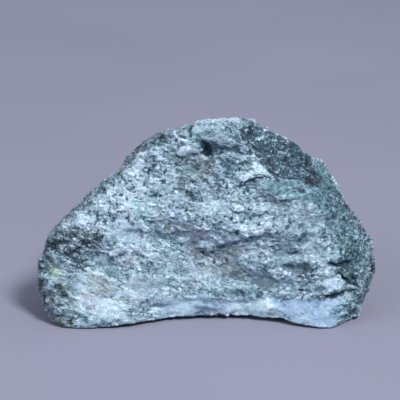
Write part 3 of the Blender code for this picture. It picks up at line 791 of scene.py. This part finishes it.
# The mottled tone. Chips: their thickness in millimetres, and how far each one's tone strays.
TONE_CHIPS = ((3.4, 0.07), (1.5, 0.10), (0.78, 0.20), (0.5, 0.32))
CHIP_SHAPE = (0.58, 0.75, 1.0)  # chips are longer along the layers than across them
BEND_SIZE, BEND_REACH = 3.0, 2.4
BLOTCH_SIZE, BLOTCH_TONE = 4.0, 0.26
FIBRE_SIZE, FIBRE_TONE = 1.6, 0.36
FIBRE_SHAPE = (0.3, 0.5, 1.0)
FINEST_SIZE, FINEST_TONE = 0.6, 0.5
GAP_SIZE, GAP_TONE = 2.2, -0.8
SPECK_TONE = -0.9
DIRT_SIZE = 7.0
SPOT_SIZE, SPOT_TONE = 2.6, -0.4
VEIN_SIZE, VEIN_TONE = 3.4, 0.36
FLECK_TONE = 0.11
TRACE_SIZE = 6.5
MIDDLE_TONE = 0.515
SMOOTH_MOTTLING = -0.7  # how much less mottled the smooth places are
# Painted light on what stands out and painted shade in the hollows, the crust's own darker tone,
# and painted shade in the cracks.
REGION_TONES = (("painted_relief_shading", 0.13), ("crust", -0.02), ("crack", -0.5))


def scale(size):
    """The scale of a pattern of which one part is this many millimetres."""
    return 1.0 / (size * MM)


def add(tree, kind, inputs=None, stops=(), **settings):
    """Adds a node with its settings, its ramp's stops, and its inputs as links or values."""
    node = tree.nodes.new(kind)
    for name, value in settings.items():
        setattr(node, name, value)
    for socket, value in (inputs or {}).items():
        if isinstance(value, bpy.types.Node):
            value = value.outputs[0]
        if isinstance(value, bpy.types.NodeSocket):
            tree.links.new(value, node.inputs[socket])
        else:
            node.inputs[socket].default_value = value
    for index, (position, colour) in enumerate(stops):
        elements = node.color_ramp.elements
        element = elements[index] if index < 2 else elements.new(position)
        element.position, element.color = position, colour
    return node


def weathered_pectolite(settings):
    """Fibrous blue pectolite with calcite and host-rock grains, broken and weathered.

    Clean fibres are pale and faintly silky, calcite is white, and the grains of host rock are
    dark.
    The hollows and cracks get painted shade and what stands out of the relief painted light, so
    the surface is mottled on every scale down to its 1 mm grain.
    """
    material = bpy.data.materials.new("weathered_pectolite")
    material.use_nodes = True
    tree = material.node_tree
    shader = tree.nodes["Principled BSDF"]
    region = {
        name: add(tree, "ShaderNodeAttribute", attribute_name=name).outputs["Fac"]
        for name in REGIONS + ("crust", "painted_relief_shading", "crack")
    }
    layers = add(tree, "ShaderNodeAttribute", attribute_name="layers").outputs["Vector"]
    places = add(tree, "ShaderNodeTexCoord").outputs["Object"]

    # The edges of the chips are bent by a noise of 3 mm, which moves them by up to 1 mm.
    bends = add(
        tree, "ShaderNodeTexNoise", {"Vector": places, "Scale": scale(BEND_SIZE), "Detail": 2.0}
    ).outputs["Color"]
    bends = add(tree, "ShaderNodeVectorMath", {0: bends, 1: (0.5, 0.5, 0.5)}, operation="SUBTRACT")
    bends = add(
        tree, "ShaderNodeVectorMath", {0: bends, "Scale": BEND_REACH * MM}, operation="SCALE"
    )
    bent = add(tree, "ShaderNodeVectorMath", {0: layers, 1: bends}, operation="ADD")
    bent = add(tree, "ShaderNodeMapping", {"Vector": bent, "Scale": CHIP_SHAPE})

    # Chips of four thicknesses, each with its own tone, over blotches, fibres and fine grains.
    tone = add(tree, "ShaderNodeMath", {0: region["tone"], 1: MIDDLE_TONE}, operation="ADD")
    rough = add(
        tree, "ShaderNodeMath", {0: region["smooth"], 1: SMOOTH_MOTTLING, 2: 1.0},
        operation="MULTIPLY_ADD",
    )
    mottles = []
    for size, strength in TONE_CHIPS:
        chips = add(tree, "ShaderNodeTexVoronoi", {"Vector": bent, "Scale": scale(size)})
        own = add(tree, "ShaderNodeSeparateColor", {0: chips.outputs["Color"]})
        mottles.append((own, strength))
    broad_chips, middling_chips, small_chips = (own for own, strength in mottles[:3])
    blotches = add(
        tree, "ShaderNodeTexNoise",
        {"Vector": bent, "Scale": scale(BLOTCH_SIZE), "Detail": 6.0, "Roughness": 0.68},
    )
    mottles.append((blotches, BLOTCH_TONE))
    stretched = add(tree, "ShaderNodeMapping", {"Vector": bent, "Scale": FIBRE_SHAPE})
    fibres = add(
        tree, "ShaderNodeTexNoise",
        {"Vector": stretched, "Scale": scale(FIBRE_SIZE), "Detail": 3.0, "Roughness": 0.55},
    )
    mottles.append((fibres, FIBRE_TONE))
    grains = add(
        tree, "ShaderNodeTexNoise",
        {"Vector": places, "Scale": scale(FINEST_SIZE), "Detail": 2.0, "Roughness": 0.8},
    )
    mottles.append((grains, FINEST_TONE))
    mottle = 0.0
    for source, strength in mottles:
        centred = add(tree, "ShaderNodeMath", {0: source, 1: -0.5}, operation="ADD")
        mottle = add(
            tree, "ShaderNodeMath", {0: centred, 1: strength, 2: mottle}, operation="MULTIPLY_ADD"
        )
    tone = add(tree, "ShaderNodeMath", {0: mottle, 1: rough, 2: tone}, operation="MULTIPLY_ADD")

    # Dirt lies in the gaps between chips 2 mm thick and on some of the 1.5 mm chips. It gathers
    # in places about 7 mm across. Then the hollows and cracks get painted shade, what stands out
    # of the relief painted light, and the crust its own darker tone.
    edges = add(
        tree, "ShaderNodeTexVoronoi", {"Vector": bent, "Scale": scale(GAP_SIZE)},
        feature="DISTANCE_TO_EDGE",
    )
    gaps = add(
        tree, "ShaderNodeMapRange", {0: edges, 1: 0.0, 2: 0.1, 3: GAP_TONE, 4: 0.0},
        interpolation_type="SMOOTHSTEP",
    )
    specks = add(
        tree, "ShaderNodeMapRange", {0: middling_chips, 1: 0.70, 2: 0.78, 3: 0.0, 4: SPECK_TONE},
        interpolation_type="SMOOTHSTEP",
    )
    gaps = add(tree, "ShaderNodeMath", {0: gaps, 1: specks}, operation="ADD")
    dirt = add(
        tree, "ShaderNodeTexNoise", {"Vector": layers, "Scale": scale(DIRT_SIZE), "Detail": 3.0}
    )
    dirt = add(
        tree, "ShaderNodeMapRange", {0: dirt, 1: 0.42, 2: 0.68, 3: 0.0, 4: 0.3},
        interpolation_type="SMOOTHSTEP",
    )
    dirt = add(tree, "ShaderNodeMath", {0: dirt, 1: rough}, operation="MULTIPLY")
    tone = add(tree, "ShaderNodeMath", {0: gaps, 1: dirt, 2: tone}, operation="MULTIPLY_ADD")
    for name, strength in REGION_TONES:
        tone = add(
            tree, "ShaderNodeMath", {0: region[name], 1: strength, 2: tone},
            operation="MULTIPLY_ADD",
        )

    # Small dark spots of host rock, 1 to 2 mm across, stand out of the pale shoulder.
    spots = add(
        tree, "ShaderNodeTexNoise",
        {"Vector": places, "Scale": scale(SPOT_SIZE), "Detail": 2.0, "Roughness": 0.6},
    )
    spots = add(
        tree, "ShaderNodeMapRange", {0: spots, 1: 0.56, 2: 0.62, 3: 0.0, 4: SPOT_TONE},
        interpolation_type="SMOOTHSTEP",
    )
    tone = add(
        tree, "ShaderNodeMath", {0: spots, 1: region["spotted"], 2: tone},
        operation="MULTIPLY_ADD",
    )

    # Thin white veins of calcite run through the dark cap.
    veins = add(
        tree, "ShaderNodeTexNoise",
        {"Vector": places, "Scale": scale(VEIN_SIZE), "Detail": 3.0, "Roughness": 0.65},
    )
    veins = add(tree, "ShaderNodeMath", {0: veins, 1: -0.5}, operation="ADD")
    veins = add(tree, "ShaderNodeMath", {0: veins}, operation="ABSOLUTE")
    veins = add(
        tree, "ShaderNodeMapRange", {0: veins, 1: 0.004, 2: 0.022, 3: VEIN_TONE, 4: 0.0},
        interpolation_type="SMOOTHSTEP",
    )
    tone = add(
        tree, "ShaderNodeMath", {0: veins, 1: region["matrix"], 2: tone},
        operation="MULTIPLY_ADD",
    )

    # Grains of clean calcite, 0.8 mm across, are paler and take no tint from the cap.
    flecks = add(
        tree, "ShaderNodeMapRange", {0: small_chips, 1: 0.78, 2: 0.90, 3: 0.0, 4: FLECK_TONE},
        interpolation_type="SMOOTHSTEP",
    )
    tone = add(tree, "ShaderNodeMath", {0: flecks, 1: rough, 2: tone}, operation="MULTIPLY_ADD")
    clean = add(tree, "ShaderNodeMath", {0: flecks, 1: -5.0, 2: 1.0}, operation="MULTIPLY_ADD")

    # The tints end raggedly: their masks are broken up by the chips and the grains.
    ragged = add(
        tree, "ShaderNodeMath", {0: broad_chips, 1: 0.5, 2: -0.70}, operation="MULTIPLY_ADD"
    )
    for source, strength in ((middling_chips, 0.4), (grains, 0.5)):
        ragged = add(
            tree, "ShaderNodeMath", {0: source, 1: strength, 2: ragged}, operation="MULTIPLY_ADD"
        )
    colour = add(
        tree, "ShaderNodeValToRGB", {0: tone},
        stops=((0.0, settings.black), (1.0, settings.white), (0.24, settings.dark),
               (0.5, settings.middle), (0.75, settings.light)),
    )
    for name in ("teal", "blue", "grey", "olive", "matrix", "crust"):
        mask = add(tree, "ShaderNodeMath", {0: region[name], 1: ragged}, operation="ADD")
        mask = add(
            tree, "ShaderNodeMapRange", {0: mask, 1: 0.25, 2: 0.75},
            interpolation_type="SMOOTHSTEP",
        )
        if name == "matrix":
            mask = add(tree, "ShaderNodeMath", {0: mask, 1: clean}, operation="MULTIPLY")
        colour = add(
            tree, "ShaderNodeMix", {0: mask, 6: colour, 7: getattr(settings, name)},
            data_type="RGBA", blend_type="MULTIPLY",
        ).outputs[2]

    # Traces of copper turn the fibres slightly green here and slightly lilac there.
    traces = add(
        tree, "ShaderNodeTexNoise",
        {"Vector": bent, "Scale": scale(TRACE_SIZE), "Detail": 5.0, "Roughness": 0.7},
    )
    traces = add(
        tree, "ShaderNodeValToRGB", {0: traces},
        stops=((0.36, settings.greenish), (0.64, settings.lilac), (0.5, (1.0, 1.0, 1.0, 1.0))),
    )
    colour = add(
        tree, "ShaderNodeMix", {0: 1.0, 6: colour, 7: traces},
        data_type="RGBA", blend_type="MULTIPLY",
    ).outputs[2]
    tree.links.new(colour, shader.inputs["Base Color"])

    # Facets of the 1.5 and 0.8 mm chips, too fine for the mesh.
    low = add(
        tree, "ShaderNodeMath", {0: middling_chips, 1: 0.8, 2: small_chips},
        operation="MULTIPLY_ADD",
    )
    bump = add(tree, "ShaderNodeBump", {"Height": low, "Strength": 0.8, "Distance": 0.4 * MM})
    tree.links.new(bump.outputs["Normal"], shader.inputs["Normal"])
    roughness = add(
        tree, "ShaderNodeMath", {0: region["smooth"], 1: -0.2, 2: 0.66}, operation="MULTIPLY_ADD"
    )
    tree.links.new(roughness.outputs[0], shader.inputs["Roughness"])
    shader.inputs["IOR"].default_value = 1.6  # as pectolite has
    shader.inputs["Specular IOR Level"].default_value = 0.3
    return material


class LARIMAR_OT_stone(bpy.types.Operator):
    """Break and colour the surface of the stone"""

    bl_idname = "larimar.stone"
    bl_label = "Stone"

    def execute(self, context):
        settings = context.scene.larimar_stone
        noise.seed_set(SEED)
        surface = fine_copy(settings.spacing)
        break_surface(surface, settings.relief)
        thin_out(surface)
        surface.data.materials.append(weathered_pectolite(settings))
        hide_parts(NODE)
        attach(surface, "root")
        return {"FINISHED"}


def matte_cloth(colour):
    """Plain matte cotton: no gloss, and only a faint unevenness of tone, painted shade of soft
    folds.
    """
    material = bpy.data.materials.new("matte_cloth")
    material.use_nodes = True
    tree = material.node_tree
    shader = tree.nodes["Principled BSDF"]
    places = add(tree, "ShaderNodeTexCoord").outputs["Object"]
    # Painted shade of soft folds: broad patches up to 7% darker.
    fold_shade = add(
        tree, "ShaderNodeTexNoise", {"Vector": places, "Scale": 5.0, "Detail": 1.0}
    ).outputs["Fac"]
    shaded = [0.93 * channel for channel in colour[:3]] + [1.0]
    ramp = add(tree, "ShaderNodeValToRGB", {0: fold_shade}, stops=((0.3, shaded), (0.7, colour)))
    tree.links.new(ramp.outputs["Color"], shader.inputs["Base Color"])
    shader.inputs["Roughness"].default_value = 0.95
    shader.inputs["Specular IOR Level"].default_value = 0.1
    return material


def soft_light(name, place, size, power):
    """A square lamp that shines at the stone."""
    light = bpy.data.lights.new(name, "AREA")
    light.shape = "SQUARE"
    light.size = size
    light.energy = power
    lamp = bpy.data.objects.new(name, light)
    lamp.location = place
    lamp.rotation_euler = (Vector(LIGHT_AIM) - Vector(place)).to_track_quat("-Z", "Y").to_euler()
    bpy.context.scene.collection.objects.link(lamp)


class LARIMAR_OT_stage(bpy.types.Operator):
    """Set the floor, the soft light and the camera"""

    bl_idname = "larimar.stage"
    bl_label = "Stage"

    def execute(self, context):
        settings = context.scene.larimar_stage
        scene = context.scene
        bm = bmesh.new()
        bmesh.ops.create_grid(bm, x_segments=1, y_segments=1, size=FLOOR_SIZE)
        mesh = bpy.data.meshes.new("floor")
        bm.to_mesh(mesh)
        bm.free()
        mesh.materials.append(matte_cloth(settings.floor))
        floor = bpy.data.objects.new("floor", mesh)
        scene.collection.objects.link(floor)
        soft_light("key", KEY_PLACE, KEY_SIZE, settings.key_power)
        soft_light("fill", FILL_PLACE, FILL_SIZE, settings.fill_power)
        world = bpy.data.worlds.new("room")
        world.use_nodes = True
        background = world.node_tree.nodes["Background"]
        background.inputs["Color"].default_value = settings.room
        background.inputs["Strength"].default_value = settings.sky
        scene.world = world
        scene.view_settings.view_transform = "Standard"
        camera_data = bpy.data.cameras.new("camera")
        camera = bpy.data.objects.new("camera", camera_data)
        scene.collection.objects.link(camera)
        scene.camera = camera
        lean = math.radians(FACE_LEAN)
        ahead = Vector((0.0, math.cos(lean), -math.sin(lean)))
        up = Vector((0.0, math.sin(lean), math.cos(lean)))
        frame_width = FRAME_PIXELS * STONE_WIDTH * MM / STONE_PIXELS
        along_face, up_face = FRAME_MIDDLE
        middle = Vector((along_face * MM, -FACE_FOOT * MM, 0.0)) + up * up_face * MM
        camera_data.sensor_width = SENSOR
        camera_data.lens = SENSOR * (settings.distance + RIM_DEPTH * MM) / frame_width
        camera.location = middle - ahead * settings.distance
        camera.rotation_euler = ahead.to_track_quat("-Z", "Y").to_euler()
        return {"FINISHED"}


class LARIMAR_PT_sidebar(bpy.types.Panel):
    """Makes the stone and its stage"""

    bl_idname = "LARIMAR_PT_sidebar"
    bl_label = "Raw Larimar"
    bl_space_type = "VIEW_3D"
    bl_region_type = "UI"
    bl_category = "Larimar"

    def draw(self, context):
        layout = self.layout
        for group in (context.scene.larimar_stone, context.scene.larimar_stage):
            box = layout.box()
            for name in group.__annotations__:
                box.prop(group, name)
        layout.operator(LARIMAR_OT_stone.bl_idname)
        layout.operator(LARIMAR_OT_stage.bl_idname)


CLASSES = (StoneSettings, StageSettings, LARIMAR_OT_stone, LARIMAR_OT_stage, LARIMAR_PT_sidebar)


def register():
    for cls in CLASSES:
        bpy.utils.register_class(cls)
    bpy.types.Scene.larimar_stone = PointerProperty(type=StoneSettings)
    bpy.types.Scene.larimar_stage = PointerProperty(type=StageSettings)


def unregister():
    del bpy.types.Scene.larimar_stage
    del bpy.types.Scene.larimar_stone
    for cls in reversed(CLASSES):
        bpy.utils.unregister_class(cls)


def main():
    register()
    bpy.ops.larimar.stone()
    bpy.ops.larimar.stage()


if __name__ == "__main__":
    main()
